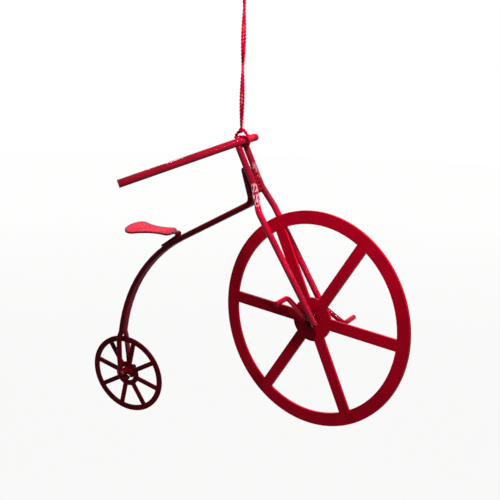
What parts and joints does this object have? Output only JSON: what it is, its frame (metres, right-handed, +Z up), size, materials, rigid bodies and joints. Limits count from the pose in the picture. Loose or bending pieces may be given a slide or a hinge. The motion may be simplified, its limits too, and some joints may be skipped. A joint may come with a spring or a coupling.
{
  "type": "hanging miniature high-wheel bicycle",
  "caption": "Miniature high-wheel bicycle ornament of red enamelled wire with two loose sheet-metal wheels, hung by a yarn cord tied round its handlebar.",
  "frame": {"origin": "inside top of the cord's upper loop, where it hangs", "axes": "+Z up along the taut cord, +X the way the bicycle faces, +Y its left; the front wheel's axis is along Y"},
  "size_m": [0.1372, 0.0694, 0.1681],
  "materials": {
    "red_enamel": "glossy red enamel on steel",
    "red_yarn": "doubled twisted yarn"
  },
  "bodies": {
    "frame": {"fork_blade_right": "red_enamel", "fork_blade_left": "red_enamel", "backbone_stay_right": "red_enamel", "backbone_stay_left": "red_enamel", "handlebar": "red_enamel", "crank_axle": "red_enamel", "rear_axle": "red_enamel", "saddle": "red_enamel", "noose_right": "red_yarn", "noose_left": "red_yarn", "head_knot": "red_yarn", "hanging_cord": "red_yarn", "loop_knot": "red_yarn", "upper_loop": "red_yarn"},
    "front_wheel_body": {"front_wheel": "red_enamel"},
    "rear_wheel_body": {"rear_wheel": "red_enamel"}
  },
  "joints": [
    {"name": "front_wheel_spin", "type": "hinge", "parent": "frame", "child": "front_wheel_body", "pos_m": [0.02545, 0.00691, -0.11101], "axis": [0, 1, 0], "continuous": true},
    {"name": "rear_wheel_spin", "type": "hinge", "parent": "frame", "child": "rear_wheel_body", "pos_m": [-0.06137, 0.00797, -0.15146], "axis": [-0.1997, 0.973, 0.116], "continuous": true}
  ]
}
